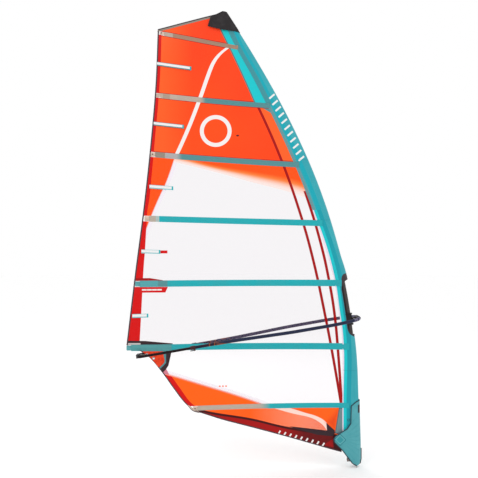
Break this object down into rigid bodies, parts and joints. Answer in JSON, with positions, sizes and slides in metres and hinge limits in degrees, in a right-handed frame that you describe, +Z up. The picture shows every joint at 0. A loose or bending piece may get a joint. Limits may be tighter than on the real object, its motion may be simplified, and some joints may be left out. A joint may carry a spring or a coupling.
{
  "type": "windsurf sail rig",
  "caption": "Battened windsurf sail on a bent two-part mast, with a clamp-on wishbone boom, telescoping boom tail, roller downhaul and padded tack cover.",
  "frame": {"origin": "centre of the mast foot socket's mouth, at the bottom of the mast's extension", "axes": "+Z up along the foot of the mast, +X ahead of the luff so that the sail runs aft to -X, +Y to port"},
  "size_m": [2.3415, 0.5062, 4.5474],
  "materials": {
    "orange_film": "printed laminated film, satin",
    "window_film": "clear film laid over fine scrim, glossy",
    "sleeve_cloth": "woven polyester, matt",
    "pocket_cloth": "taffeta, matt",
    "fairing_foam": "neoprene-faced foam, quilted",
    "black_plastic": "glass-filled nylon",
    "beige_plastic": "moulded",
    "mast_laminate": "carbon laminate, satin",
    "batten_laminate": "glass laminate rod",
    "alloy_tube": "black anodised",
    "grip_foam": "textured EVA",
    "steel": "stainless",
    "rope": "braided",
    "webbing": "woven strap"
  },
  "bodies": {
    "rig": {"mast_foot_socket": "alloy_tube", "extension_tube": "alloy_tube", "extension_collar": "black_plastic", "pulley_housing": "black_plastic", "downhaul_cleat": "alloy_tube", "pulley_axles": "steel", "mast_lower_section": "mast_laminate", "mast_upper_section": "mast_laminate", "mast_ferrule": "mast_laminate", "mast_tip_plug": "black_plastic", "luff_sleeve": "sleeve_cloth", "head_cap": "black_plastic", "head_panel": "orange_film", "shoulder_panel": "orange_film", "upper_panel": "orange_film", "window_upper": "window_film", "window_middle": "window_film", "window_lower": "window_film", "lower_panel": "window_film", "foot_panel": "orange_film", "batten_1": "batten_laminate", "batten_2": "batten_laminate", "batten_3": "batten_laminate", "batten_4": "batten_laminate", "batten_5": "batten_laminate", "batten_6": "batten_laminate", "batten_7": "batten_laminate", "batten_pockets": "pocket_cloth", "batten_tips": "black_plastic", "batten_tensioners": "beige_plastic", "tensioner_screws": "steel", "mini_battens": "batten_laminate", "clew_eyelets": "steel", "tack_fairing": "fairing_foam", "tack_block_frame": "steel", "tack_webbing": "webbing", "downhaul_line": "rope", "downhaul_tail": "rope", "mast_clamp": "black_plastic", "clamp_pins": "steel"},
    "boom": {"boom_head": "black_plastic", "boom_arm_port": "alloy_tube", "boom_arm_starboard": "alloy_tube", "boom_grips": "grip_foam", "tail_collars": "black_plastic"},
    "tail": {"tail_tube": "alloy_tube", "tail_fitting": "black_plastic", "outhaul_axles": "steel", "outhaul_line": "rope"},
    "clamp_lever": {"clamp_lever": "black_plastic"},
    "port_clip": {"port_clip": "black_plastic"},
    "starboard_clip": {"starboard_clip": "black_plastic"},
    "tack_roller_1": {"tack_roller_1": "black_plastic"},
    "tack_roller_2": {"tack_roller_2": "black_plastic"},
    "tack_roller_3": {"tack_roller_3": "black_plastic"},
    "base_roller_1": {"base_roller_1": "black_plastic"},
    "base_roller_2": {"base_roller_2": "black_plastic"},
    "outhaul_roller_port": {"outhaul_roller_port": "black_plastic"},
    "outhaul_roller_starboard": {"outhaul_roller_starboard": "black_plastic"},
    "release_button": {"release_button": "black_plastic"}
  },
  "joints": [
    {"name": "boom_pivot", "type": "hinge", "parent": "rig", "child": "boom", "pos_m": [-0.01936, 0, 1.46663], "axis": [0, 1, 0], "range_deg": [-1, 0.3]},
    {"name": "tail_slide", "type": "slide", "parent": "boom", "child": "tail", "axis": [-0.9851, 0, -0.1719], "range_m": [0, 0.15], "deforming": ["outhaul_line"]},
    {"name": "lever_hinge", "type": "hinge", "parent": "rig", "child": "clamp_lever", "pos_m": [-0.05699, 0.042, 1.46138], "axis": [0.1381, 0, -0.9904], "range_deg": [0, 95]},
    {"name": "port_clip_hinge", "type": "hinge", "parent": "boom", "child": "port_clip", "pos_m": [-1.60172, 0.105, 1.16305], "axis": [0, -1, 0], "range_deg": [0, 95]},
    {"name": "starboard_clip_hinge", "type": "hinge", "parent": "boom", "child": "starboard_clip", "pos_m": [-1.60172, -0.105, 1.16305], "axis": [0, -1, 0], "range_deg": [0, 95]},
    {"name": "tack_roller_1_spin", "type": "hinge", "parent": "rig", "child": "tack_roller_1", "pos_m": [-0.072, 0.012, 0.205], "axis": [0, 1, 0], "continuous": true},
    {"name": "tack_roller_2_spin", "type": "hinge", "parent": "rig", "child": "tack_roller_2", "pos_m": [-0.072, 0, 0.205], "axis": [0, 1, 0], "continuous": true},
    {"name": "tack_roller_3_spin", "type": "hinge", "parent": "rig", "child": "tack_roller_3", "pos_m": [-0.072, -0.012, 0.205], "axis": [0, 1, 0], "continuous": true},
    {"name": "base_roller_1_spin", "type": "hinge", "parent": "rig", "child": "base_roller_1", "pos_m": [-0.072, 0.006, 0.055], "axis": [0, 1, 0], "continuous": true},
    {"name": "base_roller_2_spin", "type": "hinge", "parent": "rig", "child": "base_roller_2", "pos_m": [-0.072, -0.006, 0.055], "axis": [0, 1, 0], "continuous": true},
    {"name": "outhaul_roller_port_spin", "type": "hinge", "parent": "tail", "child": "outhaul_roller_port", "pos_m": [-2.14424, 0.022, 1.09578], "axis": [-0.1719, 0, 0.9851], "continuous": true},
    {"name": "outhaul_roller_starboard_spin", "type": "hinge", "parent": "tail", "child": "outhaul_roller_starboard", "pos_m": [-2.14424, -0.022, 1.09578], "axis": [-0.1719, 0, 0.9851], "continuous": true},
    {"name": "release_button_slide", "type": "slide", "parent": "rig", "child": "release_button", "axis": [-1, 0, 0], "range_m": [0, 0.0024], "stiffness_N_per_m": 600, "springref_m": -0.004}
  ]
}
